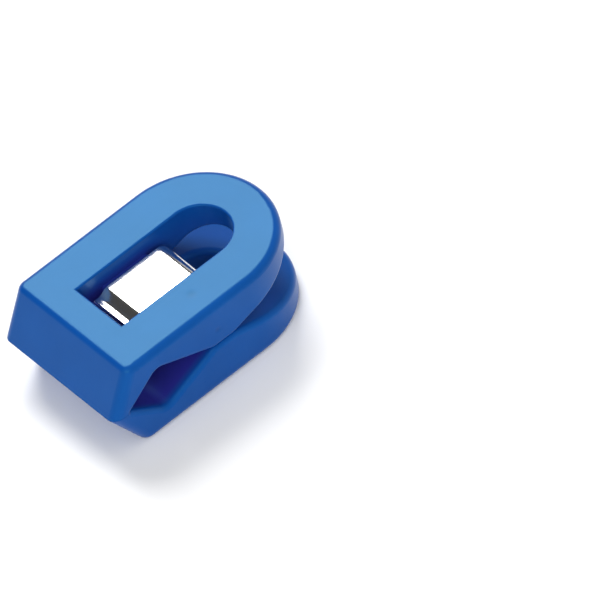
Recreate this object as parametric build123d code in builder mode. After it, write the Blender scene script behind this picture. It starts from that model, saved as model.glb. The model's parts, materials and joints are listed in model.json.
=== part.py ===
from build123d import *
import os

os.makedirs("parts", exist_ok=True)

# Overall size in mm. +X runs from the jaws to the handles, +Z is up, Z = 0 is the rest face.
LENGTH = 32.0
WIDTH = 20.6
HEIGHT = 12.2
MID = HEIGHT / 2  # the plane between the two levers
GAP = 0.04  # total clearance where the closed levers meet
MEET = MID - GAP / 2

# Lever profile, stations along X measured from the jaw tip
JAW_X = -LENGTH / 2
REAR_X = LENGTH / 2
FACE_X = JAW_X + 3.5  # front edge of the outer face
LAND_X = JAW_X + 2.7  # inner end of the jaw land
APEX_X = JAW_X + 7.3  # thinnest point of the jaw hollow
APEX_Z = 2.8
APEX_R = 1.5
SEAT_X = JAW_X + 15.2  # front of the flat seat that the levers rest on each other with
HINGE_X = JAW_X + 18.3  # rear edge of the seat, where the levers rock
TAIL_Z = 2.3  # thickness at the end of the handle
JAW_CORNER_R = 1.3
EDGE_R = 0.9
INNER_R = 0.7  # inner edge of the hollow, seat and handle
RIM_R = 0.25  # window edge in the outer face
INNER_RIM_R = 0.7  # window edge in the handle's inner face

# Window through the lever and the cross-bar left standing in it
WINDOW_W = 8.3
WINDOW_X0 = FACE_X + 4.2
WINDOW_X1 = FACE_X + 23.2
BAR_X0 = FACE_X + 7.3
BAR_X1 = FACE_X + 14.3
BAR_Z = 2.4  # depth of the bar below the outer face
BAR_NOSE_R = 0.5

# A bead on one rail sits in a groove of the other lever, on the hinge axis
SEAT_R = 0.5
BEAD_R = 0.9
GROOVE_R = 0.97
BEAD_Y = 7.0
BEAD_LENGTH = 3.2
GROOVE_LENGTH = 3.6

# Spring strip
STRIP_W = 6.8
STRIP_T = 0.45
ARM_Z = HEIGHT - 1.9 - STRIP_T / 2  # centre line of the upper arm
BACK_X = FACE_X + 16.8 - STRIP_T / 2
BEND_R = 1.6
HOOK_X = FACE_X + 7.8  # where the arm starts to turn down over the bar
HOOK_R = 0.8
HOOK_TURN = 33
HOOK_DROP = 0.8
LIP_R = 1.1
LIP_TURN = 42
LIP_LENGTH = 0.35


def make_lever():
    with BuildPart() as lever:
        with BuildSketch(Plane.XZ):
            with BuildLine():
                Polyline(
                    (FACE_X, 0),
                    (JAW_X, MEET),
                    (LAND_X, MEET),
                    (APEX_X, APEX_Z),
                    (SEAT_X, MEET),
                    (HINGE_X, MEET),
                    (REAR_X, TAIL_Z),
                    (REAR_X, 0),
                    close=True,
                )
            make_face()
        extrude(amount=WIDTH / 2, both=True)
        # Deepest line of the jaw hollow
        apex = lever.edges().filter_by(Axis.Y).sort_by_distance((APEX_X, 0, APEX_Z))[0]
        fillet(apex, APEX_R)
        # Rocking edge of the seat
        rocker = lever.edges().filter_by(Axis.Y).sort_by_distance((HINGE_X, 0, MEET))[0]
        fillet(rocker, SEAT_R)
        # Semicircular handle end
        with BuildSketch(Plane.XY):
            with Locations((REAR_X - WIDTH / 2, 0)):
                Circle(WIDTH / 2)
            with Locations((JAW_X, 0)):
                Rectangle(LENGTH - WIDTH / 2, WIDTH, align=(Align.MIN, Align.CENTER))
        extrude(amount=HEIGHT, mode=Mode.INTERSECT)
        # Sides of the slanted jaw face
        corners = lever.edges().filter_by(
            lambda e: e.center().X < FACE_X
            and abs(abs(e.center().Y) - WIDTH / 2) < 0.01
            and e.bounding_box().size.X > 3
            and e.bounding_box().size.Z > 3
        )
        fillet(corners, JAW_CORNER_R)
        # Rounded inner edge from the hollow back round the handle
        inner = lever.edges().filter_by(
            lambda e: e.center().X > LAND_X
            and 1 < e.center().Z
            and e.bounding_box().size.X > 0.1
            and abs(e.center().Y) > 1
        )
        fillet(inner, INNER_R)
        # Bead on the -Y rail, groove in the +Y rail, both on the hinge axis
        with BuildSketch(Plane.XZ.offset(BEAD_Y)):
            with Locations((HINGE_X, MID)):
                Circle(BEAD_R)
        extrude(amount=BEAD_LENGTH / 2, both=True)
        with BuildSketch(Plane.XZ.offset(-BEAD_Y)):
            with Locations((HINGE_X, MID)):
                Circle(GROOVE_R)
        extrude(amount=GROOVE_LENGTH / 2, both=True, mode=Mode.SUBTRACT)
        # Window: open in front of the bar, recessed over it and open behind it
        with BuildSketch(Plane.XY):
            with Locations((WINDOW_X0, 0)):
                Rectangle(BAR_X0 - WINDOW_X0, WINDOW_W, align=(Align.MIN, Align.CENTER))
            with Locations((WINDOW_X1 - WINDOW_W / 2, 0)):
                Circle(WINDOW_W / 2)
            with Locations((BAR_X1, 0)):
                Rectangle(
                    WINDOW_X1 - WINDOW_W / 2 - BAR_X1,
                    WINDOW_W,
                    align=(Align.MIN, Align.CENTER),
                )
        extrude(amount=HEIGHT, mode=Mode.SUBTRACT)
        with BuildSketch(Plane.XY):
            with Locations((BAR_X0, 0)):
                Rectangle(BAR_X1 - BAR_X0, WINDOW_W, align=(Align.MIN, Align.CENTER))
        extrude(amount=BAR_Z, mode=Mode.SUBTRACT)
        # Front and rear edges of the bar that the spring bears on
        bar_edges = lever.edges().filter_by(Axis.Y).filter_by_position(Axis.Z, BAR_Z, BAR_Z)
        fillet(bar_edges, BAR_NOSE_R)
        # Outline of the outer face
        outer = lever.faces().sort_by(Axis.Z)[0]
        fillet(outer.outer_wire().edges(), EDGE_R)
        # Window rims, in the outer face and in the handle's inner face
        outer = lever.faces().sort_by(Axis.Z)[0]
        fillet(outer.inner_wires()[0].edges(), RIM_R)
        inner_rim = lever.edges().filter_by(
            lambda e: e.center().X > HINGE_X + 1
            and e.center().Z > APEX_Z
            and abs(e.center().Y) < WINDOW_W / 2 + 0.01
            and e.bounding_box().size.X > 1
            and e.bounding_box().size.Z > 0.3
        )
        fillet(inner_rim, INNER_RIM_R)
    return lever


blank = make_lever()

with BuildPart() as lower_lever:
    add(blank.part)
lower_lever.part.label = "lower_lever"
export_step(lower_lever.part, "parts/lower_lever.step")

with BuildPart() as upper_lever:
    add(blank.part.rotate(Axis((0, 0, MID), (1, 0, 0)), 180))
upper_lever.part.label = "upper_lever"
export_step(upper_lever.part, "parts/upper_lever.step")

with BuildPart() as spring:
    with BuildLine(Plane.XZ) as half:
        back = Line((BACK_X, MID), (BACK_X, ARM_Z - BEND_R))
        bend = JernArc(back @ 1, back % 1, BEND_R, 90)
        arm = Line(bend @ 1, (HOOK_X, ARM_Z))
        hook = JernArc(arm @ 1, arm % 1, HOOK_R, HOOK_TURN)
        drop = PolarLine(hook @ 1, HOOK_DROP, direction=hook % 1)
        lip = JernArc(drop @ 1, drop % 1, LIP_R, -LIP_TURN)
        end = PolarLine(lip @ 1, LIP_LENGTH, direction=lip % 1)
    with BuildSketch(Plane((BACK_X, 0, MID))):
        Rectangle(STRIP_T, STRIP_W)
    sweep(path=half.wire())
    mirror(about=Plane.XY.offset(MID))
spring.part.label = "spring"
export_step(spring.part, "parts/spring.step")
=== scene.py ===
import json
import math

import bmesh
import bpy
from mathutils import Matrix, Vector


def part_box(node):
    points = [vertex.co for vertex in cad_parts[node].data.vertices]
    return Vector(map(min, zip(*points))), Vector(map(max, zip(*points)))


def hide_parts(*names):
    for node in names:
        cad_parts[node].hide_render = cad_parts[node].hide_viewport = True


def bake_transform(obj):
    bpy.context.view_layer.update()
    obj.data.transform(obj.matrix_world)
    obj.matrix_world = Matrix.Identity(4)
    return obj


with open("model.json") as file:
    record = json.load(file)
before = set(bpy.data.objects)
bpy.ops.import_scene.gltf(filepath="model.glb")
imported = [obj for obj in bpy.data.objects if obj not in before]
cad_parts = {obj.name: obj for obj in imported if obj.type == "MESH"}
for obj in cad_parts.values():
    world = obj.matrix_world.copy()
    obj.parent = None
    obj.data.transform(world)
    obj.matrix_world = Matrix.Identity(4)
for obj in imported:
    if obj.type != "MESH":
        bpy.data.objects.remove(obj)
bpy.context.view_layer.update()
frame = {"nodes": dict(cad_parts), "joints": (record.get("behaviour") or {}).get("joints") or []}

MM = 0.001
LOWER = frame["nodes"]["lower_lever"]
UPPER = frame["nodes"]["upper_lever"]
HINGE = Vector(frame["joints"][0]["pos_m"])


# ---------------------------------------------------------------- node helpers
def new_material(name):
    material = bpy.data.materials.new(name)
    material.use_nodes = True
    return material, material.node_tree.nodes, material.node_tree.links


def noise(nodes, links, coords, scale, detail=3.0, roughness=0.5, stretch=None):
    tex = nodes.new("ShaderNodeTexNoise")
    tex.inputs["Scale"].default_value = scale
    tex.inputs["Detail"].default_value = detail
    tex.inputs["Roughness"].default_value = roughness
    if stretch:
        mapping = nodes.new("ShaderNodeMapping")
        mapping.inputs["Scale"].default_value = stretch
        links.new(coords, mapping.inputs["Vector"])
        coords = mapping.outputs["Vector"]
    links.new(coords, tex.inputs["Vector"])
    return tex.outputs["Fac"]


def ramp(nodes, links, value, low, high, start=0.3, end=0.7):
    node = nodes.new("ShaderNodeValToRGB")
    node.color_ramp.elements[0].position = start
    node.color_ramp.elements[0].color = low
    node.color_ramp.elements[1].position = end
    node.color_ramp.elements[1].color = high
    links.new(value, node.inputs["Fac"])
    return node.outputs["Color"]


def to_range(nodes, links, value, low, high):
    node = nodes.new("ShaderNodeMapRange")
    node.inputs["To Min"].default_value = low
    node.inputs["To Max"].default_value = high
    links.new(value, node.inputs["Value"])
    return node.outputs["Result"]


def fade(nodes, links, value, start, end):
    """1 up to start, falling smoothly to 0 at end."""
    node = nodes.new("ShaderNodeMapRange")
    node.interpolation_type = "SMOOTHSTEP"
    node.inputs["From Min"].default_value = start
    node.inputs["From Max"].default_value = end
    node.inputs["To Min"].default_value = 1.0
    node.inputs["To Max"].default_value = 0.0
    links.new(value, node.inputs["Value"])
    return node.outputs["Result"]


def bump(nodes, links, height, strength, distance, normal=None):
    node = nodes.new("ShaderNodeBump")
    node.inputs["Strength"].default_value = strength
    node.inputs["Distance"].default_value = distance
    links.new(height, node.inputs["Height"])
    if normal:
        links.new(normal, node.inputs["Normal"])
    return node.outputs["Normal"]


def math_node(nodes, links, operation, *values):
    node = nodes.new("ShaderNodeMath")
    node.operation = operation
    for socket, value in zip(node.inputs, values):
        if isinstance(value, float):
            socket.default_value = value
        else:
            links.new(value, socket)
    return node.outputs["Value"]


def product(nodes, links, first, *others):
    for other in others:
        first = math_node(nodes, links, "MULTIPLY", first, other)
    return first


def tint(nodes, links, base, color, share):
    """base, mixed towards one plain color by share."""
    node = nodes.new("ShaderNodeMix")
    node.data_type = "RGBA"
    links.new(share, node.inputs["Factor"])
    links.new(base, node.inputs["A"])
    node.inputs["B"].default_value = color
    return node.outputs["Result"]


# ---------------------------------------------------------------- materials
# Painted shade inside the clip: each pair of depths is where a fade of the violet painted shade
# starts and ends, measured inwards.
OUTLINE_DEPTHS = (1.6 * MM, 0.3 * MM)  # from the sides and the round end
FACE_DEPTHS = (3.4 * MM, 0.3 * MM)  # from the two outer faces
JAW_DEPTHS = (3.8 * MM, 2.8 * MM)  # from the jaw tips
REAR_FADE = (-2.0 * MM, 3.0 * MM)  # along X from the hinge
REAR_SHARE = 0.15  # what is left of the painted shade behind the hinge

SKIN_DARK = (0.0020, 0.058, 0.285, 1)
SKIN_LIGHT = (0.0030, 0.067, 0.318, 1)
# Painted shade: a deep violet put into the colour of the hollow and the handle insides, standing
# in for the shade there.
INSIDE_PAINTED_SHADE = (0.022, 0.020, 0.260, 1)
INSIDE_MATT = 0.3  # added roughness

# Sink marks: real shallow dents (bumped below), with painted shade darkening their colour.
MARK_PAINTED_SHADE = (0.002, 0.030, 0.160, 1)
MARK_SHADE_SHARE = 0.35
MARK_DEPTH = 0.06 * MM


def inside_shade_mask(nodes, links, coords):
    """Share of painted shade: 1 in the jaw hollow, REAR_SHARE inside the handles and 0 on the
    outer skin.
    """
    low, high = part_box("lower_lever")
    half_width = high[1]
    split = nodes.new("ShaderNodeSeparateXYZ")
    links.new(coords, split.inputs["Vector"])
    x, y, z = (split.outputs[axis] for axis in "XYZ")

    # Distance from the length axis, and round the end from the end's centre
    past = math_node(nodes, links, "SUBTRACT", x, high[0] - half_width)
    past = math_node(nodes, links, "MAXIMUM", past, 0.0)
    join = nodes.new("ShaderNodeCombineXYZ")
    links.new(past, join.inputs["X"])
    links.new(y, join.inputs["Y"])
    length = nodes.new("ShaderNodeVectorMath")
    length.operation = "LENGTH"
    links.new(join.outputs["Vector"], length.inputs[0])
    outline = fade(
        nodes,
        links,
        length.outputs["Value"],
        half_width - OUTLINE_DEPTHS[0],
        half_width - OUTLINE_DEPTHS[1],
    )

    height = math_node(nodes, links, "SUBTRACT", z, float(HINGE.z))
    height = math_node(nodes, links, "ABSOLUTE", height)
    faces = fade(
        nodes, links, height, HINGE.z - FACE_DEPTHS[0], HINGE.z - FACE_DEPTHS[1]
    )

    forward = math_node(nodes, links, "MULTIPLY", x, -1.0)
    jaws = fade(
        nodes, links, forward, -low[0] - JAW_DEPTHS[0], -low[0] - JAW_DEPTHS[1]
    )

    hollow = fade(nodes, links, x, HINGE.x + REAR_FADE[0], HINGE.x + REAR_FADE[1])
    hollow = to_range(nodes, links, hollow, REAR_SHARE, 1.0)
    return product(nodes, links, outline, faces, hollow, jaws)


def sink_marks(nodes, links, coords):
    """1 in the middle of the two shallow sink marks over the fulcrum; drives both the real dent
    and its painted shade.
    """
    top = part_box("upper_lever")[1]
    on_face = (0.1 * MM, -6.7 * MM, top[2])
    on_side = (0.3 * MM, -top[1], HINGE.z + 2.4 * MM)
    total = 0.0
    for place, radius in ((on_face, 0.9 * MM), (on_side, 0.6 * MM)):
        distance = nodes.new("ShaderNodeVectorMath")
        distance.operation = "DISTANCE"
        links.new(coords, distance.inputs[0])
        distance.inputs[1].default_value = place
        mark = fade(nodes, links, distance.outputs["Value"], 0.0, radius)
        total = math_node(nodes, links, "ADD", total, mark)
    return total


def blue_plastic():
    material, nodes, links = new_material("blue_plastic")
    shader = nodes["Principled BSDF"]
    coords = nodes.new("ShaderNodeTexCoord").outputs["Object"]
    inside = inside_shade_mask(nodes, links, coords)
    marks = sink_marks(nodes, links, coords)

    cloud = noise(nodes, links, coords, scale=140, detail=4)
    color = ramp(nodes, links, cloud, SKIN_DARK, SKIN_LIGHT)
    # Painted shade: the hollow and the insides of the handles are mixed towards deep violet.
    color = tint(nodes, links, color, INSIDE_PAINTED_SHADE, inside)
    # Painted shade: the sink marks are darkened in colour on top of their real dent.
    mark_shade_share = product(nodes, links, marks, MARK_SHADE_SHARE)
    color = tint(nodes, links, color, MARK_PAINTED_SHADE, mark_shade_share)
    links.new(color, shader.inputs["Base Color"])

    grain = noise(nodes, links, coords, scale=5200, detail=3, roughness=0.6)
    satin = to_range(nodes, links, grain, 0.24, 0.36)
    matt = product(nodes, links, inside, INSIDE_MATT)
    roughness = math_node(nodes, links, "ADD", satin, matt)
    links.new(roughness, shader.inputs["Roughness"])
    shader.inputs["IOR"].default_value = 1.5
    shader.inputs["Specular IOR Level"].default_value = 0.27
    shader.inputs["Specular Tint"].default_value = (0.24, 0.94, 1.0, 1)

    sunk = product(nodes, links, marks, -1.0)
    dent = bump(nodes, links, sunk, strength=0.6, distance=MARK_DEPTH)
    normal = bump(
        nodes, links, grain, strength=0.10, distance=0.02 * MM, normal=dent
    )
    links.new(normal, shader.inputs["Normal"])
    return material


def nickel():
    material, nodes, links = new_material("nickel_plate")
    shader = nodes["Principled BSDF"]
    coords = nodes.new("ShaderNodeTexCoord").outputs["Object"]
    brushed = noise(nodes, links, coords, scale=900, detail=5, stretch=(1, 12, 1))
    color = ramp(
        nodes, links, brushed, (0.80, 0.78, 0.75, 1), (0.90, 0.89, 0.87, 1)
    )
    links.new(color, shader.inputs["Base Color"])
    shader.inputs["Metallic"].default_value = 1.0
    roughness = to_range(nodes, links, brushed, 0.12, 0.2)
    links.new(roughness, shader.inputs["Roughness"])
    normal = bump(nodes, links, brushed, strength=0.05, distance=0.002 * MM)
    links.new(normal, shader.inputs["Normal"])
    return material


def pale_floor():
    material, nodes, links = new_material("pale_floor")
    shader = nodes["Principled BSDF"]
    coords = nodes.new("ShaderNodeTexCoord").outputs["Object"]
    cloud = noise(nodes, links, coords, scale=30)
    color = ramp(nodes, links, cloud, (0.95, 0.95, 0.95, 1), (0.965, 0.965, 0.965, 1))
    links.new(color, shader.inputs["Base Color"])
    shader.inputs["Roughness"].default_value = 0.7
    return material


PLASTIC = blue_plastic()
NICKEL = nickel()


# ---------------------------------------------------------------- levers
for lever in (LOWER, UPPER):
    lever.data.materials.clear()
    lever.data.materials.append(PLASTIC)


# ---------------------------------------------------------------- spring
STRIP_W = 6.8 * MM
STRIP_T = 0.45 * MM
SPRING_LOW, SPRING_HIGH = (Vector(corner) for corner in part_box("spring"))
ARM = (SPRING_HIGH.z - SPRING_LOW.z - STRIP_T) / 2  # arm's centre line above the middle
BACK = SPRING_HIGH.x - STRIP_T / 2  # centre line of the back

# Half of the strip's centre line, from the middle of the back to the upper lip
BEND_R = 1.6 * MM
ARM_LENGTH = 7.175 * MM
HOOK_R, HOOK_TURN, HOOK_DROP = 0.8 * MM, 33, 0.8 * MM
LIP_R, LIP_TURN, LIP_LENGTH = 1.1 * MM, 42, 0.35 * MM

RUN_STEP = 0.6 * MM
ARC_STEP = math.radians(6)
COLUMNS = 10
RIM_W = 0.14 * MM  # a narrow column along each edge keeps the bevel's shading even
EDGE_R = 0.09 * MM


def walk(start, heading, moves):
    """Centre line from moves: ("run", length) or ("arc", radius, degrees)."""
    point, angle = Vector(start), heading
    line = [(point.copy(), angle)]
    for kind, *values in moves:
        if kind == "run":
            pieces = max(1, round(values[0] / RUN_STEP))
            for _ in range(pieces):
                point += Vector((math.cos(angle), math.sin(angle))) * values[0] / pieces
                line.append((point.copy(), angle))
        else:
            radius, turn = values[0], math.radians(values[1])
            pieces = max(2, round(abs(turn) / ARC_STEP))
            part = turn / pieces
            chord = 2 * radius * math.sin(abs(part) / 2)
            for _ in range(pieces):
                angle += part / 2
                point += Vector((math.cos(angle), math.sin(angle))) * chord
                angle += part / 2
                line.append((point.copy(), angle))
    return line


def spring_line():
    """Points and headings in X and height, from the lower lip to the upper lip."""
    upper = walk(
        (BACK, 0),
        math.pi / 2,
        [
            ("run", ARM - BEND_R),
            ("arc", BEND_R, 90),
            ("run", ARM_LENGTH),
            ("arc", HOOK_R, HOOK_TURN),
            ("run", HOOK_DROP),
            ("arc", LIP_R, -LIP_TURN),
            ("run", LIP_LENGTH),
        ],
    )
    lower = [(Vector((p.x, -p.y)), math.pi - a) for p, a in upper[1:]]
    return lower[::-1] + upper


def strip_mesh():
    """Two sheets either side of the centre line, joined round their edges."""
    line = spring_line()
    rim = RIM_W / STRIP_W
    inner = [(c / COLUMNS - 0.5) * (1 - 2 * rim) for c in range(COLUMNS + 1)]
    places = [-0.5] + inner + [0.5]
    verts = []
    for side in (-1, 1):
        for point, angle in line:
            out = Vector((math.sin(angle), -math.cos(angle)))
            p = point + out * side * STRIP_T / 2
            verts += [(p.x, place * STRIP_W, HINGE.z + p.y) for place in places]

    row = len(places)
    sheet = len(line) * row
    rows, columns = range(len(line) - 1), range(row - 1)

    def quad(first, along, across):
        return (first, first + along, first + along + across, first + across)

    faces = [
        quad(s * sheet + r * row + c, 1, row)
        for s in (0, 1)
        for r in rows
        for c in columns
    ]
    faces += [quad(r * row + c, row, sheet) for r in rows for c in (0, row - 1)]
    faces += [quad(r * row + c, 1, sheet) for r in (0, len(line) - 1) for c in columns]

    mesh = bpy.data.meshes.new("spring_strip")
    mesh.from_pydata(verts, [], faces)
    turned = bmesh.new()
    turned.from_mesh(mesh)
    bmesh.ops.recalc_face_normals(turned, faces=turned.faces)
    turned.to_mesh(mesh)
    turned.free()
    return mesh


def build_spring():
    mesh = strip_mesh()
    mesh.materials.append(NICKEL)
    obj = bpy.data.objects.new("spring_strip", mesh)
    bpy.context.scene.collection.objects.link(obj)
    edge = obj.modifiers.new("edges", "BEVEL")
    edge.width = EDGE_R
    edge.segments = 3
    edge.harden_normals = True
    edge.limit_method = "ANGLE"
    edge.angle_limit = math.radians(40)
    mesh.shade_smooth()
    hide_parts("spring")
    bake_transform(obj)


build_spring()


# ---------------------------------------------------------------- floor
FLOOR_SIZE = 1.2
FLOOR_CELLS = 24
FLOOR_DROP = 0.02 * MM  # keeps the floor just clear of the rest face


def build_floor():
    n = FLOOR_CELLS
    steps = [(i / n - 0.5) * FLOOR_SIZE for i in range(n + 1)]
    verts = [(x, y, 0) for x in steps for y in steps]
    corners = [i * (n + 1) + j for i in range(n) for j in range(n)]
    faces = [(a, a + n + 1, a + n + 2, a + 1) for a in corners]
    mesh = bpy.data.meshes.new("floor")
    mesh.from_pydata(verts, [], faces)
    mesh.materials.append(pale_floor())
    obj = bpy.data.objects.new("floor", mesh)
    bpy.context.scene.collection.objects.link(obj)
    obj.location.z = -FLOOR_DROP


build_floor()


# ---------------------------------------------------------------- camera
VIEW_AZIMUTH, VIEW_ELEVATION, VIEW_ROLL = -27.8, 47.3, -16.2
VIEW_DISTANCE = 2.5
VIEW_WIDTH = 0.0687  # width of the scene across the picture at the clip
CLIP_CENTRE = Vector((2.5, 0, 6.25)) * MM
AIM_RIGHT, AIM_DOWN = 13.69, 1.52  # mm from there, so the clip stands on the left
SENSOR_WIDTH = 36


def axes_of_view(azimuth, elevation, roll):
    a, e, r = (math.radians(v) for v in (azimuth, elevation, roll))
    back = Vector((math.sin(a) * math.cos(e), -math.cos(a) * math.cos(e), math.sin(e)))
    right = (-back).cross(Vector((0, 0, 1))).normalized()
    up = right.cross(-back)
    return (
        math.cos(r) * right + math.sin(r) * up,
        math.cos(r) * up - math.sin(r) * right,
        back,
    )


right, up, back = axes_of_view(VIEW_AZIMUTH, VIEW_ELEVATION, VIEW_ROLL)
target = CLIP_CENTRE + right * AIM_RIGHT * MM - up * AIM_DOWN * MM
camera = bpy.data.objects.new("camera", bpy.data.cameras.new("camera"))
bpy.context.scene.collection.objects.link(camera)
turn = Matrix((right, up, back)).transposed().to_4x4()
camera.matrix_world = Matrix.Translation(target + back * VIEW_DISTANCE) @ turn
camera.data.sensor_width = SENSOR_WIDTH
camera.data.lens = SENSOR_WIDTH * VIEW_DISTANCE / VIEW_WIDTH
camera.data.clip_start = 0.01
camera.data.clip_end = 10
bpy.context.scene.camera = camera


# ---------------------------------------------------------------- light
LIGHT_AIM = Vector((0, 0, 0.006))
KEY_PLACE = Vector((0.16, 0.36, 0.45))
FILL_PLACE = Vector((-0.42, -0.35, 0.35))
SIDE_FLAG = Vector((-0.5, 0.62, 0.6))
SKY_DIM, SKY_BRIGHT = 0.06, 0.78


def softbox(name, location, size, power):
    light = bpy.data.lights.new(name, "AREA")
    light.shape = "RECTANGLE"
    light.size = light.size_y = size
    light.energy = power
    obj = bpy.data.objects.new(name, light)
    bpy.context.scene.collection.objects.link(obj)
    obj.location = location
    obj.rotation_mode = "QUATERNION"
    obj.rotation_quaternion = (LIGHT_AIM - location).to_track_quat("-Z", "Y")


def dark_flag(nodes, links, coords, direction, start, end):
    """0 in a cone of the sky round direction, 1 outside it; cosines set its edge."""
    node = nodes.new("ShaderNodeVectorMath")
    node.operation = "DOT_PRODUCT"
    node.inputs[1].default_value = direction.normalized()
    links.new(coords, node.inputs[0])
    return fade(nodes, links, node.outputs["Value"], start, end)


def build_sky():
    world = bpy.data.worlds.new("studio")
    world.use_nodes = True
    nodes, links = world.node_tree.nodes, world.node_tree.links
    coords = nodes.new("ShaderNodeTexCoord").outputs["Generated"]
    flags = product(
        nodes,
        links,
        dark_flag(nodes, links, coords, KEY_PLACE, 0.78, 0.87),
        dark_flag(nodes, links, coords, SIDE_FLAG, 0.84, 0.92),
    )
    background = nodes["Background"]
    strength = to_range(nodes, links, flags, SKY_DIM, SKY_BRIGHT)
    links.new(strength, background.inputs["Strength"])
    background.inputs["Color"].default_value = (1, 1, 1, 1)
    bpy.context.scene.world = world


softbox("key", KEY_PLACE, size=0.30, power=3.15)
softbox("fill", FILL_PLACE, size=0.4, power=1.5)
build_sky()
bpy.context.scene.view_settings.view_transform = "Standard"
